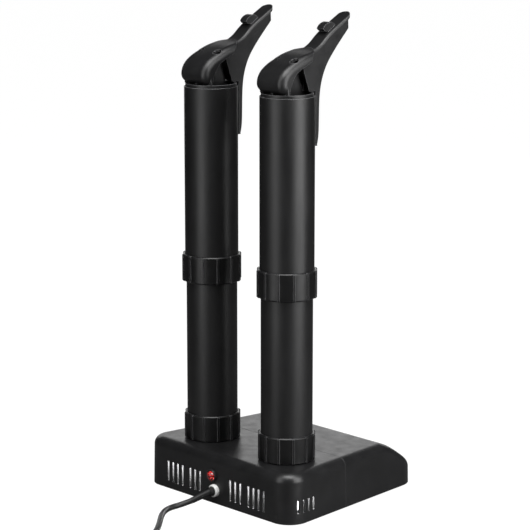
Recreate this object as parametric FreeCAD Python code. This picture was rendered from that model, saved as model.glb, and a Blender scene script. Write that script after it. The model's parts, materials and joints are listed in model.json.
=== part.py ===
import FreeCAD, Part
import math
import os
from FreeCAD import Vector as V

# Boot dryer, millimetres. +Z is up, -Y is the front (the sloping toe ramp) and +Y the rear (vents, mains cord).
# The origin is on the floor, in the middle of the object's box without its cord.

# ---- driving dimensions -------------------------------------------------------------------------------------
REAR_HALF = 107.5           # half the base's width at the rear wall, at its bottom edge
FRONT_HALF = 84.0           # and at the front wall: the sides close in towards the toe
REAR = 96.5                 # rear wall's outer face
GLAND_REACH = 9.0           # how far the cord gland and its bush stand out of the rear wall
GLAND_FLANGE = 4.0
FRONT = -(REAR + GLAND_REACH)
FOOT = 1.5                  # height that the rubber feet lift the base
DECK = 51.0                 # flat top of the base
NOSE = 18.0                 # height of the ramp's upper surface at the front wall
WALL = 2.5                  # base casing
SIDE_DRAFT = 1.6            # how much narrower each side is at deck height
REAR_CORNER = 20.0
FRONT_CORNER = 26.0
RIM_ROUND = 9.0             # rounding along the top edge of the base
SEAM = 11.0                 # joint line between rear housing and front ramp
SEAM_GAP = 0.4
RAMP_START = -50.0          # the deck is level up to here
RAMP_BREAK = -62.0          # where it would break into the slope if both were flat

TOWER_X = 54.2
TOWER_Y = 50.5
TOWERS = {"left": TOWER_X, "right": -TOWER_X}
LOWER_R = 25.4              # lower tube, outside
LOWER_BORE = 23.9
UPPER_R = 26.6              # upper tube slips over the lower one
UPPER_BORE = 25.7
GAP = 0.3                   # running clearance between parts that move on each other
RIM = DECK + 357.0          # top of the upper tube
BASE_COLLAR = (DECK + 0.3, DECK + 26.7)
MID_COLLAR = (DECK + 162.0, DECK + 189.6)
LOWER_TOP = DECK + 188.5
RIBS = 12
RIB_WIDTH = 2.1
RIB_HEIGHT = 1.2
SPIGOT_R = 23.2
SPIGOT_BORE = 21.0
SPIGOT_TOP = DECK + 20.0
FLANGE_R = 27.0             # the spigot's flange, under the deck
SEAL_Z = DECK + 9.0
SEAL_HEIGHT = 2.4
SEAL_ROOT = 22.3
SEAL_R = 23.7

HOOD_HALF = 19.5            # head hood, half width
HORN_HALF = 9.5             # horn, half width
SHELL = 2.0                 # wall of the head's mouldings
SOCKET_R = UPPER_BORE - 0.35
SOCKET_BORE = 23.4
SOCKET_DEPTH = 20.0
SEAT = 3.0                  # height above the tube's rim at which hood and horn sit on the socket

PLATE_TOP = 4.0             # bottom plate lies from FOOT to here
SHIELD_Z = 9.0              # heat shield's floor
SHEET = 0.8
SHIELD_REAR = 78.7
SHIELD_FRONT = 20.5
SHIELD_HALF = 80.0
SHIELD_HEIGHT = 34.0
LAMP_X = 4.0
LAMP_Z = 29.5
GLAND_Z = 15.0

CORD_R = 2.8
RELIEF_LENGTH = 20.0
COIL_R = 30.0               # middle of the coil's turns
COIL_BAND = (28.0, 11.2)    # width and height of the bundle of turns
OUTER_TURN = COIL_R + COIL_BAND[0] / 2 - CORD_R


# ---- helpers ------------------------------------------------------------------------------------------------
def save(shape, node):
    shape.exportStep(os.path.join("parts", node + ".step"))


def box(low, high):
    return Part.makeBox(high[0] - low[0], high[1] - low[1], high[2] - low[2], V(*low))


def cylinder(radius, start, length, axis=(0, 0, 1)):
    return Part.makeCylinder(radius, length, V(*start), V(*axis))


def pipe(outer, inner, start, length, axis=(0, 0, 1)):
    return cylinder(outer, start, length, axis).cut(cylinder(inner, start, length, axis))


def turned(outline, x, y):
    """A solid of revolution about the vertical line through (x, y) from an outline of (radius, z)."""
    points = [V(r, 0, z) for r, z in outline]
    face = Part.Face(Part.makePolygon(points + points[:1]))
    solid = face.revolve(V(0, 0, 0), V(0, 0, 1), 360)
    solid.translate(V(x, y, 0))
    return solid


def fused(shapes):
    return shapes[0].multiFuse(list(shapes[1:])).removeSplitter()


def largest(shape):
    return max(shape.Solids, key=lambda solid: solid.Volume)


def side_prism(curved, straight, half_width):
    """A block across X from a side view: a smooth curve led by (y, z) poles, closed by straight lines."""
    curve = Part.BSplineCurve()
    curve.buildFromPoles([V(-half_width, y, z) for y, z in curved], False, 3)
    corners = [V(-half_width, y, z) for y, z in [curved[-1]] + straight + [curved[0]]]
    wire = Part.Wire([curve.toShape()] + Part.makePolygon(corners).Edges)
    return Part.Face(wire).extrude(V(2 * half_width, 0, 0))


def inset_curve(points, depth):
    """The same run of (y, z) points moved to their left by depth, square to the run."""
    result = []
    for i, (y, z) in enumerate(points):
        before, after = points[max(i - 1, 0)], points[min(i + 1, len(points) - 1)]
        run = V(0, after[0] - before[0], after[1] - before[1]).normalize()
        result.append((y - depth * run.z, z + depth * run.y))
    return result


def smooth_path(points):
    """Straight runs joined by tangent arcs, each arc as large as its two runs allow."""
    corners = [V(*p) for p in points]
    edges, radii, start = [], [], corners[0]
    for a, b, c in zip(corners, corners[1:], corners[2:]):
        back, ahead = (a - b), (c - b)
        reach = 0.45 * min(back.Length, ahead.Length)
        back.normalize()
        ahead.normalize()
        turn = math.pi - back.getAngle(ahead)
        radii.append(reach / math.tan(turn / 2))
        first, last = b + back * reach, b + ahead * reach
        bisector = (back + ahead).normalize()
        middle = b + bisector * (radii[-1] / math.cos(turn / 2) - radii[-1])
        edges.append(Part.LineSegment(start, first).toShape())
        edges.append(Part.Arc(first, middle, last).toShape())
        start = last
    edges.append(Part.LineSegment(start, corners[-1]).toShape())
    return Part.Wire(edges), radii


def swept_tube(points, radius):
    path, radii = smooth_path(points)
    heading = V(*points[1]) - V(*points[0])
    section = Part.Wire(Part.makeCircle(radius, V(*points[0]), heading))
    return path.makePipeShell([section], True, False), path.Length, radii


# ---- base ---------------------------------------------------------------------------------------------------
def base_outline(inset, narrower, z):
    """Rounded plan of the base, inset on all sides and narrower by its side draft, at height z."""
    rear_x, front_x = REAR_HALF - inset - narrower, FRONT_HALF - inset - narrower
    rear, front = REAR - inset, FRONT + inset
    corners = [V(front_x, front, z), V(rear_x, rear, z), V(-rear_x, rear, z), V(-front_x, front, z)]
    radii = [FRONT_CORNER - inset, REAR_CORNER - inset, REAR_CORNER - inset, FRONT_CORNER - inset]
    arcs = []
    for i, (corner, radius) in enumerate(zip(corners, radii)):
        back = (corners[i - 1] - corner).normalize()
        ahead = (corners[(i + 1) % 4] - corner).normalize()
        half_opening = back.getAngle(ahead) / 2
        reach = radius / math.tan(half_opening)
        inward = (back + ahead).normalize()
        middle = corner + inward * (radius / math.sin(half_opening) - radius)
        arcs.append([corner + back * reach, middle, corner + ahead * reach])
    edges = []
    for here, following in zip(arcs, arcs[1:] + arcs[:1]):
        edges.append(Part.Arc(*here).toShape())
        edges.append(Part.LineSegment(here[2], following[0]).toShape())
    return Part.Wire(edges)


def base_block(inset):
    """The base as a solid block: drafted sides, flat deck, convex ramp and a rounded top edge."""
    height = DECK + 10
    full = Part.makeLoft([base_outline(inset, 0, FOOT), base_outline(inset, SIDE_DRAFT, height)], True, True)
    deck, nose, across = DECK - inset, NOSE - inset, REAR_HALF + 10
    ramp = Part.BezierCurve()
    ramp.setPoles([V(-across, RAMP_START, deck), V(-across, RAMP_BREAK, deck), V(-across, FRONT, nose)])
    slope = (V(0, FRONT, nose) - V(0, RAMP_BREAK, deck)).normalize() * 20
    corners = [(FRONT, nose), (FRONT + slope.y, nose + slope.z), (FRONT + slope.y, 0), (REAR + 10, 0),
               (REAR + 10, deck), (RAMP_START, deck)]
    line = Part.makePolygon([V(-across, y, z) for y, z in corners])
    view = Part.Face(Part.Wire([ramp.toShape()] + line.Edges)).extrude(V(2 * across, 0, 0))
    block = full.common(view)
    rim = []
    for edge in block.Edges:
        ends = [v.Z for v in edge.Vertexes]
        middle = edge.CenterOfMass
        across_deck = abs(middle.x) < 1 and abs(middle.y - RAMP_START) < 1
        if min(ends) > FOOT + 5 and not across_deck:
            rim.append(edge)
    return block.makeFillet(RIM_ROUND - inset, rim)


SCREWS = [(x, y) for x in (-86, 86) for y in (84, 20)] + [(-72, -72), (72, -72)]
FEET = [(x, y) for x in (-64, 64) for y in (83, -80)]
STANDOFFS = [(x, y) for x in (-76, 76) for y in (26, 74)]


def screw_bosses(spots, block):
    posts = fused([cylinder(4.5, (x, y, PLATE_TOP), DECK) for x, y in spots])
    pilots = fused([cylinder(1.5, (x, y, 0), 16) for x, y in spots])
    return posts.common(block), pilots


def slots(across, height, places, depth):
    """Upright vent slots, each a block of the given size (across, z range) through the wall at each place."""
    cuts = []
    for x, y in places:
        dx, dy = (across / 2, depth) if abs(y) > REAR - 5 else (depth, across / 2)
        cuts.append(box((x - dx, y - dy, height[0]), (x + dx, y + dy, height[1])))
    return fused(cuts)


REAR_SLOTS = [(side * x, REAR) for side in (-1, 1) for x in (22.3, 29.5, 36.7, 48.4, 55.6, 62.8, 70.0)]
SIDE_SLOTS = [(side * (REAR_HALF - 4), TOWER_Y + y) for side in (-1, 1) for y in (10.5, 17.5, 24.5, 31.5)]


def base_casing():
    outer, inner = base_block(0), base_block(WALL)
    shell = outer.cut(inner)
    rear_half = box((-200, SEAM + SEAM_GAP / 2, -1), (200, 200, 200))
    front_half = box((-200, -200, -1), (200, SEAM - SEAM_GAP / 2, 200))
    bosses, pilots = screw_bosses(SCREWS[:4], outer)
    housing = fused([shell.common(rear_half), bosses]).cut(pilots)
    for side, x in TOWERS.items():
        housing = housing.cut(cylinder(SPIGOT_R, (x, TOWER_Y, DECK - 10), 20))
        save(tower_spigot(x), side + "_tower_spigot")
    housing = housing.cut(slots(2.4, (9.0, 30.0), REAR_SLOTS, 8)).cut(slots(2.4, (12.0, 24.5), SIDE_SLOTS, 8))
    housing = housing.cut(cylinder(4.8, (LAMP_X, REAR - 10, LAMP_Z), 20, (0, 1, 0)))
    housing = housing.cut(cylinder(5.3, (0, REAR - 10, GLAND_Z), 20, (0, 1, 0)))
    ramp_bosses, ramp_pilots = screw_bosses(SCREWS[4:], outer)
    ramp = fused([shell.common(front_half), ramp_bosses]).cut(ramp_pilots)
    save(housing.removeSplitter(), "base_housing")
    save(ramp.removeSplitter(), "front_ramp")


def tower_spigot(x):
    """Flanged tube let through the deck from below, on which a tower stands; a groove holds its seal."""
    spot = (x, TOWER_Y)
    tube = pipe(SPIGOT_R, SPIGOT_BORE, (*spot, DECK - WALL - 2), SPIGOT_TOP - DECK + WALL + 2)
    flange = pipe(FLANGE_R, SPIGOT_BORE, (*spot, DECK - WALL - 2), 2)
    groove = pipe(SPIGOT_R + 1, SEAL_ROOT, (*spot, SEAL_Z), SEAL_HEIGHT)
    return fused([tube, flange]).cut(groove)


def bottom_plate():
    """Closes the base; a grille under each tower lets room air in, posts carry the heat shield."""
    plate = Part.Face(base_outline(WALL + 0.4, 0, FOOT)).extrude(V(0, 0, PLATE_TOP - FOOT))
    posts = [cylinder(4, (x, y, PLATE_TOP), SHIELD_Z - PLATE_TOP) for x, y in STANDOFFS]
    cuts = [cylinder(1.8, (x, y, 0), 10) for x, y in SCREWS]
    cuts += [Part.makeCone(3.1, 1.8, 1.3, V(x, y, FOOT)) for x, y in SCREWS]
    cuts += [cylinder(2.5, (x, y, 0), 10) for x, y in FEET]
    for x in TOWERS.values():
        for step in range(-3, 4):
            middle = x + 6.4 * step
            cuts.append(box((middle - 2.1, TOWER_Y - 20, 0), (middle + 2.1, TOWER_Y + 20, 8)))
    save(fused([plate] + posts).cut(fused(cuts)), "bottom_plate")
    feet = [fused([cylinder(8, (x, y, 0), FOOT), cylinder(2.4, (x, y, FOOT), 3.5)]) for x, y in FEET]
    save(Part.makeCompound(feet), "rubber_feet")
    screws = []
    for x, y in SCREWS:
        head = Part.makeCone(2.9, 1.6, 1.3, V(x, y, FOOT))
        screws.append(fused([head, cylinder(1.35, (x, y, FOOT + 1), 12)]))
    save(Part.makeCompound(screws), "bottom_screws")


# ---- inside the base ----------------------------------------------------------------------------------------
def heat_shield():
    """Folded sheet tray under and behind the heaters, with an air hole below each."""
    low, top = SHIELD_Z, SHIELD_Z + SHIELD_HEIGHT
    tray = [box((-SHIELD_HALF, SHIELD_FRONT, low), (SHIELD_HALF, SHIELD_REAR + SHEET, low + SHEET)),
            box((-SHIELD_HALF, SHIELD_REAR, low), (SHIELD_HALF, SHIELD_REAR + SHEET, top)),
            box((-SHIELD_HALF, SHIELD_FRONT, low), (SHIELD_HALF, SHIELD_FRONT + SHEET, top - 4))]
    cuts = [cylinder(15, (x, TOWER_Y, low - 1), 4) for x in TOWERS.values()]
    cuts += [cylinder(4.5, (0, SHIELD_REAR - 1, GLAND_Z), 4, (0, 1, 0)),
             cylinder(5.5, (LAMP_X, SHIELD_REAR - 1, LAMP_Z), 4, (0, 1, 0))]
    save(fused(tray).cut(fused(cuts)), "heat_shield")


def heaters():
    """A ceramic ring on the shield under each tower, with the round heating coil lying on it."""
    floor = SHIELD_Z + SHEET
    for side, x in TOWERS.items():
        save(pipe(20, 15.5, (x, TOWER_Y, floor), 5), side + "_heater_ring")
        save(Part.makeTorus(17.5, 2.2, V(x, TOWER_Y, floor + 5 + 2.2)), side + "_heater_coil")
        cutoff = fused([cylinder(3, (x - 6, 26, floor + 4), 12, (1, 0, 0)),
                        box((x - 4, 24.5, floor), (x + 4, 27.5, floor + 4))])
        save(cutoff, side + "_thermal_cutoff")


def wiring():
    floor = SHIELD_Z + SHEET
    block = box((-14, 44, floor), (14, 54, floor + 9))
    holes = [cylinder(2.2, (x, 40, floor + 5), 22, (0, 1, 0)) for x in (-8.5, 0, 8.5)]
    save(block.cut(fused(holes)), "terminal_block")
    wires = []
    for x in (-8.5, 8.5):
        side = math.copysign(1, x)
        route = [(x, 50, floor + 5), (x, 60, floor + 5), (side * 15, 68, floor + 6), (side * 27, 69, floor + 8),
                 (side * 34, 60, floor + 11.5), (side * 36, 50, floor + 11.5)]
        wires.append(swept_tube(route, 1.0)[0])
    lead = [(0, REAR - 9.5, GLAND_Z), (0, 72, GLAND_Z), (0, 60, floor + 5), (0, 48, floor + 5)]
    wires.append(swept_tube(lead, 1.8)[0])
    save(Part.makeCompound(wires), "lead_wires")


def indicator():
    """Red jewel lamp in the rear wall: lens, round bezel, lamp body with its nut."""
    spot = (LAMP_X, REAR, LAMP_Z)
    cap = cylinder(5.0, (LAMP_X, REAR + 0.5, LAMP_Z), 6, (0, 1, 0))
    dome = Part.makeSphere(6.0, V(LAMP_X, REAR - 1.2, LAMP_Z)).common(cap)
    save(dome, "indicator_lens")
    save(pipe(6.4, 5.1, spot, 2.2, (0, 1, 0)), "indicator_bezel")
    body = fused([cylinder(4.4, (LAMP_X, REAR - 12, LAMP_Z), 12.5, (0, 1, 0)),
                  cylinder(2.2, (LAMP_X, REAR - 16, LAMP_Z), 4, (0, 1, 0))])
    save(body, "indicator_body")
    nut = hexagon(6.8, LAMP_X, REAR - WALL - 3, 3, LAMP_Z)
    save(nut.cut(cylinder(4.5, (LAMP_X, REAR - 12, LAMP_Z), 20, (0, 1, 0))), "indicator_nut")


def hexagon(radius, x, y, depth, z):
    turns = [math.radians(60 * i) for i in range(7)]
    points = [V(x + radius * math.cos(turn), y, z + radius * math.sin(turn)) for turn in turns]
    return Part.Face(Part.makePolygon(points)).extrude(V(0, depth, 0))


# ---- cord ---------------------------------------------------------------------------------------------------
RELIEF_START = V(0, REAR + GLAND_REACH - 2, GLAND_Z)
RELIEF_HEADING = V(0.50, 0.76, -0.41).normalize()
CORD_START = RELIEF_START + RELIEF_HEADING * RELIEF_LENGTH
CORD_ROUTE = [
    tuple(CORD_START),
    (15.6, 128.4, 3.4),
    (17.2, 140.5, CORD_R),
    (12.4, 152.5, CORD_R),
    (3.0, 164.0, CORD_R),
    (-8.5, 175.5, CORD_R),
    (-20.5, 188.0, CORD_R),
    (-31.0, 201.0, CORD_R),
    (-42.5, 213.0, CORD_R),
    (-55.5, 224.5, CORD_R),
    (-69.5, 235.5, CORD_R),
    (-83.5, 248.0, CORD_R),
]
COIL_ENTRY = (V(*CORD_ROUTE[-1]) - V(*CORD_ROUTE[-2])).normalize()
COIL_CENTRE = (CORD_ROUTE[-1][0] - OUTER_TURN * COIL_ENTRY.y, CORD_ROUTE[-1][1] + OUTER_TURN * COIL_ENTRY.x)
TAIL_X = COIL_CENTRE[0] - OUTER_TURN
TAIL_Y = (COIL_CENTRE[1], COIL_CENTRE[1] - 26)
PLUG_NECK = 18.0
PLUG_SIZE = (24.0, 32.0, 17.0)
BLADE = (1.5, 17.0, 6.3)


def cord_gland():
    """Screwed gland: pale flange outside the wall, thread through it, nut inside, rubber bush on the mouth."""
    axis = (0, 1, 0)
    rim = REAR + GLAND_FLANGE
    flange = fused([cylinder(6.3, (0, REAR, GLAND_Z), GLAND_FLANGE - 1, axis),
                    Part.makeCone(6.3, 5.3, 1, V(0, rim - 1, GLAND_Z), V(*axis))])
    thread = cylinder(5.1, (0, REAR - 9, GLAND_Z), 10, axis)
    bore = cylinder(3.7, (0, REAR - 20, GLAND_Z), 60, axis)
    save(fused([flange, thread]).cut(bore), "cord_gland")
    bush = Part.makeCone(4.7, 4.2, GLAND_REACH - GLAND_FLANGE, V(0, rim, GLAND_Z), V(*axis))
    save(bush.cut(bore), "gland_bush")
    nut = hexagon(7.2, 0, REAR - WALL - 3.5, 3.5, GLAND_Z).cut(cylinder(5.2, (0, REAR - 20, GLAND_Z), 40, axis))
    save(nut, "gland_nut")


def strain_relief():
    """Rubber boot: a plug in the gland's bore and a tapered sleeve along the cord's first stretch."""
    stub = cylinder(3.5, (0, REAR - 8, GLAND_Z), GLAND_REACH + 6, (0, 1, 0))
    knuckle = Part.makeSphere(3.5, RELIEF_START)
    sleeve = Part.makeCone(3.5, 3.0, RELIEF_LENGTH, RELIEF_START, RELIEF_HEADING)
    save(fused([stub, knuckle, sleeve]), "strain_relief")


def cord():
    tube, length, radii = swept_tube(CORD_ROUTE, CORD_R)
    print("cord length %.1f volume ratio %.4f" % (length, tube.Volume / (math.pi * CORD_R ** 2 * length)))
    print("cord radii", [round(r, 1) for r in radii])
    tail = cylinder(CORD_R, (TAIL_X, TAIL_Y[0], CORD_R), TAIL_Y[0] - TAIL_Y[1], (0, -1, 0))
    save(Part.makeCompound([tube, tail]), "power_cord")
    half, height = COIL_BAND[0] / 2, COIL_BAND[1]
    ring = [(COIL_R - half, 0), (COIL_R + half, 0), (COIL_R + half, height), (COIL_R - half, height)]
    save(turned(ring, *COIL_CENTRE), "cord_coil")


def plug():
    """Two-blade mains plug lying flat beside the coil, with a tapered neck round the cord."""
    wide, long, high = PLUG_SIZE
    start = TAIL_Y[1]
    front = start - PLUG_NECK - long
    rings = [Part.Wire(Part.makeCircle(r, V(TAIL_X, y, r), V(0, 1, 0)))
             for r, y in ((3.7, start), (4.6, start - 9), (7.6, start - PLUG_NECK - 1))]
    body = box((TAIL_X - wide / 2, front, 0), (TAIL_X + wide / 2, front + long, high))
    upright = [e for e in body.Edges if abs(e.Vertexes[0].Y - e.Vertexes[-1].Y) > 1]
    body = body.makeFillet(4.0, upright)
    save(fused([body, Part.makeLoft(rings, True, False)]), "plug_body")
    thick, reach, tall = BLADE
    blades = [box((TAIL_X + x - thick / 2, front - reach, (high - tall) / 2),
                  (TAIL_X + x + thick / 2, front, (high + tall) / 2)) for x in (-6.35, 6.35)]
    save(Part.makeCompound(blades), "plug_blades")


# ---- towers -------------------------------------------------------------------------------------------------
def collar(x, span, bore, valley, chamfers):
    """A grip ring: chamfered body with upright ribs."""
    low, high = span
    bottom, top = chamfers

    def profile(radius):
        return [(bore, high), (bore, low), (radius - bottom, low), (radius, low + bottom), (radius, high - top),
                (radius - top, high)]

    ring = turned(profile(valley), x, TOWER_Y)
    envelope = turned(profile(valley + RIB_HEIGHT), x, TOWER_Y)
    bars = []
    for i in range(RIBS):
        bar = box((valley - 1, -RIB_WIDTH / 2, low), (valley + 5, RIB_WIDTH / 2, high))
        bar.rotate(V(0, 0, 0), V(0, 0, 1), 360 / RIBS * i)
        bar.translate(V(x, TOWER_Y, 0))
        bars.append(bar)
    return fused([ring] + [bar.common(envelope) for bar in bars])


CROWN = [(17.3, SEAT), (24.8, 6.0), (26.9, 15.0), (20.3, 26.5), (6.0, 33.6), (-8.8, 39.6), (-21.8, 41.6),
         (-29.4, 43.6), (-36.9, 47.5)]
HOOD_EDGE = [(15.2, SEAT - 1), (15.0, 7.5), (13.0, 13.5), (7.9, 21.3), (0.6, 26.9), (-15.0, 32.4), (-31.0, 41.5)]
HOOD_HOLES = [(-12.5, 3.0), (12.5, 3.0)]
SPINE = [(-9.0, 38.0), (-22.3, 41.2), (-28.9, 43.0), (-36.4, 47.0), (-41.4, 51.5), (-48.0, 57.0),
         (-67.0, 68.2), (-79.6, 75.0), (-86.4, 78.8)]
TIP = -79.9
HORN_EDGE = [(-72.6, 60.2), (-60.8, 48.4), (-48.9, 35.5), (-40.6, 24.0), (-35.4, 10.0), (-33.6, -2.0),
             (-33.1, -15.0), (-33.0, -30.0), (-32.6, -43.0), (-30.6, -49.0)]
TAIL_INNER = -28.6
TAIL_OUTER = -31.2
TAIL_END = -50.0


def shell_under(curve, half_width, shoulder):
    """An open channel: the wall under a smooth side-view curve, with both sides turned down round its edges."""
    def channel(line, half, rounding):
        solid = side_prism(line, [(-120.0, -80.0), (line[0][0], -80.0)], half)
        crest = [e for e in solid.Edges if e.Curve.TypeId == "Part::GeomBSplineCurve"]
        return solid.makeFillet(rounding, crest)

    inner = inset_curve(curve, SHELL)
    return channel(curve, half_width, shoulder).cut(channel(inner, half_width - SHELL, shoulder - SHELL + 0.3))


def head_hood():
    """Cupped hood over the rear of the tube: bulging heel, rounded shoulders, tongue-shaped front edge."""
    shell = shell_under(CROWN, HOOD_HALF, 7.0)
    keep = side_prism(HOOD_EDGE, [(-60.0, 60.0), (60.0, 60.0), (60.0, SEAT), (HOOD_EDGE[0][0], SEAT)], 60)
    nose = Part.BSplineCurve()
    nose.interpolate([V(-22, -12, -10), V(-17, -18, -10), V(-9, -26, -10), V(0, -29, -10), V(9, -26, -10),
                      V(17, -18, -10), V(22, -12, -10)])
    back = Part.makePolygon([V(22, -12, -10), V(40, -5, -10), V(40, 60, -10), V(-40, 60, -10), V(-40, -5, -10),
                             V(-22, -12, -10)])
    tongue = Part.Face(Part.Wire([nose.toShape()] + back.Edges)).extrude(V(0, 0, 100))
    hood = shell.common(keep).common(tongue)
    return hood.cut(fused([cylinder(4.2, (x, y, 10), 60) for x, y in HOOD_HOLES]))


def head_horn():
    """Boot horn: U-channel rising forward to a paddle tip, a hook tab on top and a tail outside the tube."""
    shell = shell_under(SPINE, HORN_HALF, 2.6)
    keep = side_prism(HORN_EDGE, [(TAIL_OUTER, TAIL_END), (TAIL_INNER, TAIL_END), (TAIL_INNER, SEAT), (-20.0, SEAT),
                                  (-13.0, 22.0), (-11.0, 34.0), (-11.0, 60.0), (-100.0, 100.0), (-95.0, 80.2),
                                  (-72.2, 68.0)], 60)
    rounding = TIP + HORN_HALF
    plan = cylinder(HORN_HALF, (0, rounding, -60), 150).fuse(box((-HORN_HALF, rounding, -60), (HORN_HALF, 20, 90)))
    horn = shell.common(keep).common(plan)
    strip = box((-HORN_HALF + 1, TAIL_OUTER, TAIL_END), (HORN_HALF - 1, TAIL_INNER, 14))
    hook = side_prism([(-60.0, 62.5), (-56.5, 67.6), (-49.5, 66.8), (-44.5, 63.6), (-43.2, 60.6)],
                      [(-45.6, 58.4), (-49.0, 58.2), (-51.0, 55.5), (-59.0, 59.0)], 4.5)
    return fused([horn, strip, hook])


def head_socket():
    """Push-in socket of the head: ring in the tube's mouth, shelf under the heel, web along the middle."""
    ring = pipe(SOCKET_R, SOCKET_BORE, (0, 0, -SOCKET_DEPTH), SOCKET_DEPTH + SEAT)
    shelf = cylinder(SOCKET_R - 0.5, (0, 0, SEAT - 2), 2).common(box((-30, 11, SEAT - 2), (30, 30, SEAT)))
    outline = [(24.0, -SOCKET_DEPTH), (24.0, SEAT - 1), (19.5, SEAT - 1), (21.0, 12.0), (18.0, 19.0), (12.0, 24.5),
               (0.0, 31.0), (-9.0, 33.0), (-19.0, SEAT), (-24.0, SEAT), (-24.0, -SOCKET_DEPTH)]
    web = Part.Face(Part.makePolygon([V(-1, y, z) for y, z in outline + outline[:1]])).extrude(V(2, 0, 0))
    return fused([ring, shelf, web])


def towers():
    hood, horn, socket = head_hood(), head_horn(), head_socket()
    horn = largest(horn.cut(hood))
    parts = {"head_hood": hood, "head_horn": horn, "head_socket": largest(socket.cut(hood).cut(horn))}
    for side, x in TOWERS.items():
        spot = (x, TOWER_Y)
        save(pipe(SEAL_R, SEAL_ROOT, (*spot, SEAL_Z), SEAL_HEIGHT), side + "_base_seal")
        save(collar(x, BASE_COLLAR, LOWER_R + GAP, 27.5, (1.0, 0.9)), side + "_base_collar")
        low = BASE_COLLAR[0] + 0.2
        save(pipe(LOWER_R, LOWER_BORE, (*spot, low), LOWER_TOP - low), side + "_lower_tube")
        save(collar(x, MID_COLLAR, UPPER_R + GAP, 28.8, (1.2, 0.9)), side + "_mid_collar")
        low = MID_COLLAR[0] + 1
        save(pipe(UPPER_R, UPPER_BORE, (*spot, low), RIM - low), side + "_upper_tube")
        for name, shape in parts.items():
            placed = shape.copy()
            placed.translate(V(x, TOWER_Y, RIM))
            save(placed, side + "_" + name)


os.makedirs("parts", exist_ok=True)
base_casing()
bottom_plate()
heat_shield()
heaters()
wiring()
indicator()
cord_gland()
strain_relief()
cord()
plug()
towers()
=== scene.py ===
import json
import math

import bmesh
import bpy
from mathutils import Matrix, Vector

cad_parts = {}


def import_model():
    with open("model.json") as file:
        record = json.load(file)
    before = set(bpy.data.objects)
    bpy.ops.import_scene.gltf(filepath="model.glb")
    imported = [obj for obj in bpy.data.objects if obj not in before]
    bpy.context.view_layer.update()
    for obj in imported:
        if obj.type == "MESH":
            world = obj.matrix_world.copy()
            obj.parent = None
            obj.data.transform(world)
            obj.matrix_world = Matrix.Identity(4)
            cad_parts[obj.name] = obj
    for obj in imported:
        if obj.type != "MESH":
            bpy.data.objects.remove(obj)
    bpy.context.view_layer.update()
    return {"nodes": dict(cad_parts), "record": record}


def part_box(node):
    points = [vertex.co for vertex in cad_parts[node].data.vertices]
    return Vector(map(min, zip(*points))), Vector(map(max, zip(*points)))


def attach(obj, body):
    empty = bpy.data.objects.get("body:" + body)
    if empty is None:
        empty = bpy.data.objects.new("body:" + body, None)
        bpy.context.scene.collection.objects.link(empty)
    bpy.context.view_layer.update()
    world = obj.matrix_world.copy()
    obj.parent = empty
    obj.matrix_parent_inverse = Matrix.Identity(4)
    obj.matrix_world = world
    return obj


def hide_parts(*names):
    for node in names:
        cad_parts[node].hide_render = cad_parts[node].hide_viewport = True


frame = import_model()
nodes = frame["nodes"]
scene = bpy.context.scene


# ---- small helpers ----------------------------------------------------------------------------------------
def centre(node):
    low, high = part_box(node)
    return Vector([(a + b) / 2 for a, b in zip(low, high)])


def add_object(name, data, material, body="root"):
    obj = bpy.data.objects.new(name, data)
    scene.collection.objects.link(obj)
    data.materials.append(material)
    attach(obj, body)
    return obj


def mesh_from(bm, name, smooth=True):
    mesh = bpy.data.meshes.new(name)
    bmesh.ops.recalc_face_normals(bm, faces=bm.faces)
    bm.to_mesh(mesh)
    bm.free()
    mesh.polygons.foreach_set("use_smooth", [smooth] * len(mesh.polygons))
    return mesh


def nurbs(name, points, radius):
    """A round tube along one smooth curve, whose control points are given in metres."""
    curve = bpy.data.curves.new(name, "CURVE")
    curve.dimensions = "3D"
    spline = curve.splines.new("NURBS")
    spline.points.add(len(points) - 1)
    for point, place in zip(spline.points, points):
        point.co = (*place, 1)
    spline.order_u = 3
    spline.use_endpoint_u = True
    spline.resolution_u = 6
    curve.bevel_depth = radius
    curve.bevel_resolution = 5
    curve.use_fill_caps = True
    return curve


def loft(sections, name, smooth=True):
    """Skin through closed rings of equal point count, with both ends capped."""
    bm = bmesh.new()
    rings = [[bm.verts.new(p) for p in ring] for ring in sections]
    for a, b in zip(rings, rings[1:]):
        for i in range(len(a)):
            j = (i + 1) % len(a)
            bm.faces.new((a[i], a[j], b[j], b[i]))
    bm.faces.new(rings[0])
    bm.faces.new(rings[-1])
    return mesh_from(bm, name, smooth)


# ---- materials --------------------------------------------------------------------------------------------
NOISE_LOW, NOISE_HIGH = 0.3, 0.7        # nearly all of a noise texture's values lie between these
BEVEL_SAMPLES = 6
FLAT_AGREES, EDGE_AGREES = 0.96, 0.74   # softened normal times true normal, away from an edge and on it
EDGE_WIDTH = 0.0009
# colour of the painted edge highlight laid along sharp edges
EDGE_HIGHLIGHT_COLOUR = (0.30, 0.30, 0.31)


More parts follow.
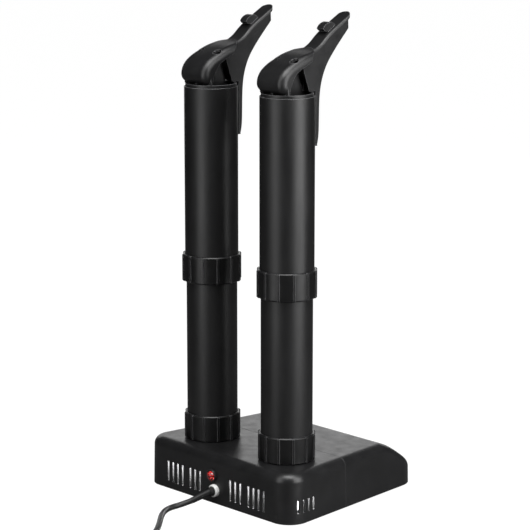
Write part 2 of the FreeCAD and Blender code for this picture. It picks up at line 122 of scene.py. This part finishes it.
class Look:
    """A material being built: its nodes, and the shader they end in."""

    def __init__(self, name):
        self.material = bpy.data.materials.new(name)
        self.material.use_nodes = True
        self.tree = self.material.node_tree
        self.shader = self.tree.nodes["Principled BSDF"]
        self.coordinates = self.node("ShaderNodeTexCoord").outputs["Object"]

    def node(self, kind, **settings):
        node = self.tree.nodes.new(kind)
        for key, value in settings.items():
            setattr(node, key, value)
        return node

    def link(self, source, target):
        self.tree.links.new(source, target)

    def noise(self, scale, detail=3.0, stretch=(1, 1, 1)):
        mapping = self.node("ShaderNodeMapping")
        mapping.inputs["Scale"].default_value = stretch
        self.link(self.coordinates, mapping.inputs["Vector"])
        noise = self.node("ShaderNodeTexNoise")
        noise.inputs["Scale"].default_value = scale
        noise.inputs["Detail"].default_value = detail
        self.link(mapping.outputs["Vector"], noise.inputs["Vector"])
        return noise.outputs["Fac"]

    def between(self, factor, low, high):
        """The factor's middle range spread from low to high."""
        spread = self.node("ShaderNodeMapRange")
        spread.inputs["From Min"].default_value = NOISE_LOW
        spread.inputs["From Max"].default_value = NOISE_HIGH
        spread.inputs["To Min"].default_value = low
        spread.inputs["To Max"].default_value = high
        self.link(factor, spread.inputs["Value"])
        return spread.outputs["Result"]

    def colours(self, factor, low, high):
        """The base colour, running from low to high over the factor's middle range."""
        ramp = self.node("ShaderNodeValToRGB")
        ends = ((NOISE_LOW, low), (NOISE_HIGH, high))
        for element, (position, colour) in zip(ramp.color_ramp.elements, ends):
            element.position = position
            element.color = (*colour, 1)
        self.link(factor, ramp.inputs["Fac"])
        self.link(ramp.outputs["Color"], self.shader.inputs["Base Color"])

    def relief(self, factor, depth, soften=0.0):
        """Surface grain of the given depth in metres; soften rounds off hard edges in the shading."""
        bump = self.node("ShaderNodeBump")
        bump.inputs["Distance"].default_value = depth
        bump.inputs["Strength"].default_value = 1.0
        self.link(factor, bump.inputs["Height"])
        if soften:
            bevel = self.node("ShaderNodeBevel", samples=BEVEL_SAMPLES)
            bevel.inputs["Radius"].default_value = soften
            self.link(bevel.outputs["Normal"], bump.inputs["Normal"])
        self.link(bump.outputs["Normal"], self.shader.inputs["Normal"])

    def painted_edge_highlights(self, amount):
        """Painted highlight: lightens the base colour along sharp edges, standing in for the light that
        catches them.
        """
        bevel = self.node("ShaderNodeBevel", samples=BEVEL_SAMPLES)
        bevel.inputs["Radius"].default_value = EDGE_WIDTH
        facing = self.node("ShaderNodeVectorMath", operation="DOT_PRODUCT")
        self.link(bevel.outputs["Normal"], facing.inputs[0])
        self.link(self.node("ShaderNodeNewGeometry").outputs["Normal"], facing.inputs[1])
        edge = self.node("ShaderNodeMapRange")
        edge.inputs["From Min"].default_value = FLAT_AGREES
        edge.inputs["From Max"].default_value = EDGE_AGREES
        edge.inputs["To Max"].default_value = amount
        self.link(facing.outputs["Value"], edge.inputs["Value"])
        mix = self.node("ShaderNodeMix", data_type="RGBA")
        self.link(edge.outputs["Result"], mix.inputs["Factor"])
        self.link(self.shader.inputs["Base Color"].links[0].from_socket, mix.inputs["A"])
        mix.inputs["B"].default_value = (*EDGE_HIGHLIGHT_COLOUR, 1)
        self.link(mix.outputs["Result"], self.shader.inputs["Base Color"])

    def set(self, **values):
        """Sets the shader's own sockets by name, and hands back the finished material."""
        for key, value in values.items():
            self.shader.inputs[key.replace("_", " ")].default_value = value
        return self.material


def shade(colour, factor):
    return tuple(c * factor for c in colour)


def moulded(name, colour, rough, grain, depth, soften=0.0006, specular=0.5, stretch=(1, 1, 1), highlight_amount=0.0):
    """Moulded plastic: faint mottling, uneven sheen and an erosion grain of the given fineness and depth."""
    look = Look(name)
    mottle = look.noise(38, 4)
    look.colours(mottle, shade(colour, 0.8), shade(colour, 1.25))
    sheen = look.noise(95, 5, stretch)
    look.link(look.between(sheen, rough - 0.05, rough + 0.05), look.shader.inputs["Roughness"])
    look.relief(look.noise(grain, 2, stretch), depth, soften=soften)
    # painted highlight: base colour lightened along sharp edges
    if highlight_amount:
        look.painted_edge_highlights(highlight_amount)
    return look.set(Specular_IOR_Level=specular)


def metal(name, colour, rough, stretch=(1, 1, 1)):
    """Bare metal: slightly uneven colour, brushed along the axis that has the smallest stretch."""
    look = Look(name)
    look.colours(look.noise(60, 4), shade(colour, 0.86), shade(colour, 1.05))
    brushed = look.noise(900, 3, stretch)
    look.link(look.between(brushed, rough - 0.07, rough + 0.09), look.shader.inputs["Roughness"])
    look.relief(brushed, 0.00002, soften=0.0003)
    return look.set(Metallic=1.0)


def jewel():
    """Red lamp glass: cells of differing depth of colour and tilt; the brightest cells emit light as painted
    glints of its facets.
    """
    look = Look("jewel_red")
    cells = look.node("ShaderNodeTexVoronoi")
    cells.inputs["Scale"].default_value = 620
    look.link(look.coordinates, cells.inputs["Vector"])
    split = look.node("ShaderNodeSeparateColor")
    look.link(cells.outputs["Color"], split.inputs["Color"])
    look.colours(split.outputs["Red"], (0.09, 0.001, 0.002), (0.62, 0.02, 0.022))
    look.relief(split.outputs["Green"], 0.0002)
    # painted glints: the brightest cells emit light in place of facet sparkle highlights
    painted_glints = look.node("ShaderNodeMapRange")
    painted_glints.inputs["From Min"].default_value = 0.82
    painted_glints.inputs["From Max"].default_value = 1.0
    painted_glints.inputs["To Max"].default_value = 1.2
    look.link(split.outputs["Blue"], painted_glints.inputs["Value"])
    look.link(painted_glints.outputs["Result"], look.shader.inputs["Emission Strength"])
    return look.set(Emission_Color=(1.0, 0.12, 0.1, 1), Roughness=0.08, Coat_Weight=1.0, IOR=1.5)


# some plastics below get a painted edge highlight, a lighter base colour along sharp edges
LOOKS = {
    "base_plastic": moulded("base_plastic", (0.009, 0.009, 0.0095), 0.36, 2200, 0.00005, highlight_amount=0.25),
    "tube_plastic": moulded("tube_plastic", (0.006, 0.006, 0.0063), 0.42, 3000, 0.00002,
                            stretch=(1, 1, 0.15), highlight_amount=0.8),
    "collar_plastic": moulded("collar_plastic", (0.004, 0.004, 0.0042), 0.34, 2600, 0.00002,
                              specular=0.4, highlight_amount=0.45),
    "head_plastic": moulded("head_plastic", (0.008, 0.008, 0.0085), 0.40, 1500, 0.00007, highlight_amount=0.6),
    "rubber": moulded("rubber", (0.015, 0.015, 0.015), 0.75, 1800, 0.00005, specular=0.3),
    "cord_sheath": moulded("cord_sheath", (0.010, 0.010, 0.0105), 0.46, 2400, 0.00002, soften=0),
    "terminal_plastic": moulded("terminal_plastic", (0.72, 0.70, 0.64), 0.45, 1800, 0.00003),
    "wire_insulation": moulded("wire_insulation", (0.5, 0.5, 0.48), 0.5, 1800, 0.00003, soften=0),
    "gland_grey": moulded("gland_grey", (0.80, 0.80, 0.79), 0.38, 1900, 0.00004),
    "ceramic": moulded("ceramic", (0.80, 0.77, 0.70), 0.85, 1300, 0.00012),
    "screw_steel": metal("screw_steel", (0.58, 0.58, 0.60), 0.30),
    "sheet_steel": metal("sheet_steel", (0.86, 0.86, 0.87), 0.50, (1, 6, 6)),
    "blade_brass": metal("blade_brass", (0.80, 0.66, 0.38), 0.26, (3, 1, 3)),
    "heating_wire": metal("heating_wire", (0.36, 0.33, 0.31), 0.42),
    "lens_red": jewel(),
}

slot_of = {part["node"]: part["material_slot"] for part in frame["record"]["subparts"]}
for name, obj in nodes.items():
    obj.data.materials.clear()
    obj.data.materials.append(LOOKS[slot_of[name]])


# ---- mains cord -------------------------------------------------------------------------------------------
CORD_R = 0.0028
ROUTE = [
    (0.01002, 0.11873, 0.00678),
    (0.0156, 0.1284, 0.0034),
    (0.0172, 0.1405, CORD_R),
    (0.0124, 0.1525, CORD_R),
    (0.0030, 0.1640, CORD_R),
    (-0.0085, 0.1755, CORD_R),
    (-0.0205, 0.1880, CORD_R),
    (-0.0310, 0.2010, CORD_R),
    (-0.0425, 0.2130, CORD_R),
    (-0.0555, 0.2245, CORD_R),
    (-0.0695, 0.2355, CORD_R),
    (-0.0835, 0.2480, CORD_R),
]
INNER_TURN, OUTER_TURN = 0.0188, 0.0412
LAYER_TURNS = 4
STEPS_PER_TURN = 16
CLIMB_EARLY, CLIMB_TURNS = 0.35, 0.5    # turns before the innermost at which the cord climbs, and its climb
coil_centre = centre("cord_coil")


def coil_points():
    """Two flat layers: inwards along the floor, up, and outwards on top, leaving on the -X side."""
    arrival = Vector(ROUTE[-1]) - coil_centre
    start = math.atan2(arrival.y, arrival.x)
    turns = 2 * LAYER_TURNS + (math.pi - start) / math.tau
    count = round(turns * STEPS_PER_TURN)
    points = []
    for i in range(1, count + 1):
        turn = i * turns / count
        angle = start + math.tau * turn
        inward = min(turn, abs(2 * LAYER_TURNS - turn), LAYER_TURNS) / LAYER_TURNS
        if turn > 2 * LAYER_TURNS:
            inward = 0
        radius = OUTER_TURN + (INNER_TURN - OUTER_TURN) * inward
        climb = min(max((turn - LAYER_TURNS + CLIMB_EARLY) / CLIMB_TURNS, 0), 1)
        rise = climb * climb * (3 - 2 * climb)
        height = CORD_R * (1 + 2 * rise)
        points.append((coil_centre.x + radius * math.cos(angle),
                       coil_centre.y + radius * math.sin(angle), height))
    return points


plug_low, plug_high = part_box("plug_body")
tail_x = (plug_low[0] + plug_high[0]) / 2
tail = [(tail_x, plug_high[1] + 0.009, 0.0062), (tail_x, plug_high[1] + 0.002, 0.0040),
        (tail_x, plug_high[1] - 0.004, 0.0037)]
cord_line = nurbs("mains_cord", ROUTE + coil_points() + tail, CORD_R)
cord = add_object("mains_cord", cord_line, LOOKS["cord_sheath"])
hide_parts("power_cord", "cord_coil")


def coil_tie():
    """A narrow strap once round the bundle of turns."""
    half, height, thick, wide, bend = 0.0146, 0.0116, 0.0007, 0.009, 0.003
    middle = coil_centre + Vector((0, -0.030, 0))
    outline = []
    for cy, cz, first in ((half - bend, height - bend, 0), (-half + bend, height - bend, 90),
                          (-half + bend, bend, 180), (half - bend, bend, 270)):
        for k in range(7):
            turn = math.radians(first + 15 * k)
            outline.append((cy, cz, math.cos(turn), math.sin(turn)))
    bm = bmesh.new()
    rings = []
    for cy, cz, c, s in outline:
        ring = []
        for x, r in ((-wide / 2, bend), (wide / 2, bend),
                     (wide / 2, bend - thick), (-wide / 2, bend - thick)):
            ring.append(bm.verts.new((middle.x + x, middle.y + cy + r * c, max(cz + r * s, 0.0))))
        rings.append(ring)
    for a, b in zip(rings, rings[1:] + rings[:1]):
        for i in range(4):
            bm.faces.new((a[i], a[(i + 1) % 4], b[(i + 1) % 4], b[i]))
    tie = add_object("coil_tie", mesh_from(bm, "coil_tie"), LOOKS["rubber"])
    return tie


tie = coil_tie()


RING_POINTS = 40
FLANK = 2.2     # how fast a rounded ring reaches its straight flanks; keeps its points in order round it


def rounded_ring(x, y, z, half_w, half_h, corner):
    """A rounded rectangle standing across Y, centred on (x, z)."""
    ring = []
    for i in range(RING_POINTS):
        turn = math.tau * i / RING_POINTS
        c, s = math.cos(turn), math.sin(turn)
        px = math.copysign(max(half_w - corner, 0), c) * min(1, abs(c) * FLANK) + corner * c
        pz = math.copysign(max(half_h - corner, 0), s) * min(1, abs(s) * FLANK) + corner * s
        ring.append((x + px, y, z + pz))
    return ring


def plug():
    """Moulded plug: ribbed neck, waisted grip with finger grooves, flat face for the blades."""
    low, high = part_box("plug_body")
    face, neck_end = low[1], high[1]
    mid_z = (low[2] + high[2]) / 2
    slim, stout, neck_length = 0.0037, 0.0079, 0.018
    rings, ribbed_rings, groove = 15, 12, 0.0006
    sections = []
    for i in range(rings):
        along = i / (rings - 1)
        radius = slim + (stout - slim) * along ** 1.5
        if i % 2 and i < ribbed_rings:
            radius -= groove
        z = max(radius, slim) + (mid_z - stout) * along
        sections.append(rounded_ring(tail_x, neck_end - neck_length * along, z, radius, radius, radius))
    # each body ring: distance from the neck's end, half width, half height, corner radius
    body = [(0.0182, 0.0096, 0.0072, 0.0060), (0.0200, 0.0110, 0.0080, 0.0050),
            (0.0235, 0.0117, 0.0083, 0.0042)]
    for k in range(5):
        y = 0.0262 + 0.0032 * k
        body += [(y, 0.0117, 0.0083, 0.0040), (y + 0.0008, 0.0110, 0.0079, 0.0040),
                 (y + 0.0016, 0.0110, 0.0079, 0.0040), (y + 0.0024, 0.0117, 0.0083, 0.0040)]
    body += [(0.0440, 0.0120, 0.0085, 0.0034), (0.0488, 0.0120, 0.0085, 0.0034),
             (0.0496, 0.0117, 0.0082, 0.0032)]
    for away, half_w, half_h, corner in body:
        sections.append(rounded_ring(tail_x, neck_end - away, mid_z, half_w, half_h, corner))
    sections.append(rounded_ring(tail_x, face, mid_z, 0.0112, 0.0077, 0.0030))
    piece = add_object("plug_moulding", loft(sections, "plug_moulding"), LOOKS["cord_sheath"])
    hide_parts("plug_body")
    return piece


plug_piece = plug()


# ---- lamp and heaters -------------------------------------------------------------------------------------
def lamp():
    """Cut jewel: rows of flat facets round a small table, standing in the bezel."""
    low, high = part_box("indicator_lens")
    x, z = centre("indicator_lens").x, centre("indicator_lens").z
    base, reach = low[1], high[1] - low[1]
    wide = (high[0] - low[0]) / 2
    rows = [(0.0, wide), (0.22, wide), (0.60, 0.86 * wide), (0.87, 0.58 * wide), (1.0, 0.26 * wide)]
    facets = 12
    sections = []
    for k, (depth, radius) in enumerate(rows):
        angles = [math.tau * (i + 0.5 * (k % 2)) / facets for i in range(facets)]
        sections.append([(x + radius * math.cos(a), base + reach * depth, z + radius * math.sin(a))
                         for a in angles])
    mesh = loft(sections, "lamp_jewel", smooth=False)
    bm = bmesh.new()
    bm.from_mesh(mesh)
    bmesh.ops.triangulate(bm, faces=bm.faces)
    bm.to_mesh(mesh)
    bm.free()
    jewel_piece = add_object("lamp_jewel", mesh, LOOKS["lens_red"])
    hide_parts("indicator_lens")


def wound_heater(side):
    """The heating wire wound as a helix, closed on itself round the ceramic."""
    node = side + "_heater_coil"
    middle = centre(node)
    low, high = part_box(node)
    wire_radius, wire_sides, margin = 0.00045, 6, 0.0005
    tube = (high[2] - low[2]) / 2 - margin
    ring = (high[0] - low[0]) / 2 - tube - margin
    turns, steps = 44, 8
    points = []
    for i in range(turns * steps):
        wind = math.tau * i / steps
        around = math.tau * i / (turns * steps)
        reach = ring + tube * math.cos(wind)
        points.append((middle.x + reach * math.cos(around), middle.y + reach * math.sin(around),
                       middle.z + tube * math.sin(wind)))
    bm = bmesh.new()
    rings = []
    for here, ahead in zip(points, points[1:] + points[:1]):
        run = (Vector(ahead) - Vector(here)).normalized()
        side_way = run.cross(Vector((0, 0, 1))).normalized()
        up_way = side_way.cross(run)
        ring_of_wire = []
        for k in range(wire_sides):
            a = math.tau * k / wire_sides
            outward = side_way * math.cos(a) + up_way * math.sin(a)
            ring_of_wire.append(bm.verts.new(Vector(here) + wire_radius * outward))
        rings.append(ring_of_wire)
    for a, b in zip(rings, rings[1:] + rings[:1]):
        for k in range(wire_sides):
            following = (k + 1) % wire_sides
            bm.faces.new((a[k], a[following], b[following], b[k]))
    name = side + "_wound_wire"
    wire = add_object(name, mesh_from(bm, name), LOOKS["heating_wire"])
    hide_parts(node)


def side_baffle(x):
    """Bright folded plate standing inside the side vents, part of the heat shield."""
    low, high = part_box("heat_shield")
    bottom, top = low[2] + 0.0006, 0.034
    fold = math.copysign(0.004, x)
    profile = [(x + fold, top), (x, top - 0.001), (x, bottom), (x - fold, bottom)]
    bm = bmesh.new()
    for y in (0.050, high[1] - 0.001):
        for px, pz in profile:
            bm.verts.new((px, y, pz))
    bm.verts.ensure_lookup_table()
    for i in range(3):
        bm.faces.new((bm.verts[i], bm.verts[i + 1], bm.verts[i + 5], bm.verts[i + 4]))
    name = "side_baffle_left" if x > 0 else "side_baffle_right"
    baffle = add_object(name, mesh_from(bm, name, False), LOOKS["sheet_steel"])
    solid = baffle.modifiers.new("thickness", "SOLIDIFY")
    solid.thickness = 0.0008


lamp()
for x in (-0.088, 0.088):
    side_baffle(x)
for side in ("left", "right"):
    wound_heater(side)


# ---- floor, light and camera ------------------------------------------------------------------------------
def floor():
    """White ground that looks bright to the camera, but throws little light back up onto the object."""
    bm = bmesh.new()
    bmesh.ops.create_grid(bm, x_segments=1, y_segments=1, size=30)
    mesh = mesh_from(bm, "floor")
    obj = bpy.data.objects.new("floor", mesh)
    scene.collection.objects.link(obj)
    look = Look("floor_white")
    look.set(Base_Color=(0.12, 0.12, 0.12, 1), Roughness=1.0, Specular_IOR_Level=0.0)
    white = look.node("ShaderNodeEmission")
    white.inputs["Strength"].default_value = 1.07
    pale = look.node("ShaderNodeBsdfDiffuse")
    pale.inputs["Color"].default_value = (0.9, 0.9, 0.9, 1)
    seen = look.node("ShaderNodeMixShader")
    seen.inputs["Fac"].default_value = 0.93
    look.link(pale.outputs["BSDF"], seen.inputs[1])
    look.link(white.outputs["Emission"], seen.inputs[2])
    choose = look.node("ShaderNodeMixShader")
    look.link(look.node("ShaderNodeLightPath").outputs["Is Camera Ray"], choose.inputs["Fac"])
    look.link(look.shader.outputs["BSDF"], choose.inputs[1])
    look.link(seen.outputs["Shader"], choose.inputs[2])
    look.link(choose.outputs["Shader"], look.tree.nodes["Material Output"].inputs["Surface"])
    mesh.materials.append(look.material)


def softbox(name, place, target, size, radiance):
    """A rectangular soft light aimed at a point; radiance is how bright its face is."""
    data = bpy.data.lights.new(name, "AREA")
    data.shape = "RECTANGLE"
    data.size, data.size_y = size
    data.energy = radiance * math.pi * size[0] * size[1]
    obj = bpy.data.objects.new(name, data)
    obj.location = place
    obj.rotation_euler = (Vector(target) - Vector(place)).to_track_quat("-Z", "Y").to_euler()
    obj.visible_camera = False
    scene.collection.objects.link(obj)


def world(strength):
    sky = bpy.data.worlds.new("studio")
    sky.use_nodes = True
    sky.node_tree.nodes["Background"].inputs["Color"].default_value = (1, 1, 1, 1)
    sky.node_tree.nodes["Background"].inputs["Strength"].default_value = strength
    scene.world = sky


def camera():
    azimuth, elevation = math.radians(226.70), math.radians(11.63)
    back = Vector((math.sin(azimuth) * math.cos(elevation), -math.cos(azimuth) * math.cos(elevation),
                   math.sin(elevation)))
    data = bpy.data.cameras.new("camera")
    data.lens = 149.2
    data.sensor_width = 36
    data.clip_end = 100
    obj = bpy.data.objects.new("camera", data)
    obj.location = (-1.5491, 1.4883, 0.6709)
    obj.rotation_euler = (-back).to_track_quat("-Z", "Y").to_euler()
    scene.collection.objects.link(obj)
    scene.camera = obj


floor()
world(0.015)
softbox("strip_left", (0.00, 0.66, 0.40), (0.054, 0.05, 0.25), (0.36, 1.5), 2.3)
softbox("strip_right", (-0.90, -0.10, 0.40), (-0.054, 0.05, 0.25), (0.62, 1.5), 5.0)
softbox("back_panel", (1.5, -1.4, 0.62), (0, 0, 0.1), (2.4, 1.0), 1.5)
softbox("overhead", (-0.45, 0.30, 1.7), (0, 0, 0.2), (1.1, 1.1), 7.4)
softbox("inside_rear", (0, 0.0905, 0.026), (0, 0.07, 0.026), (0.17, 0.030), 40.0)
for x in (-0.0975, 0.0975):
    softbox("inside_side", (x, 0.071, 0.019), (0, 0.071, 0.019), (0.028, 0.016), 40.0)
camera()
scene.view_settings.view_transform = "Standard"
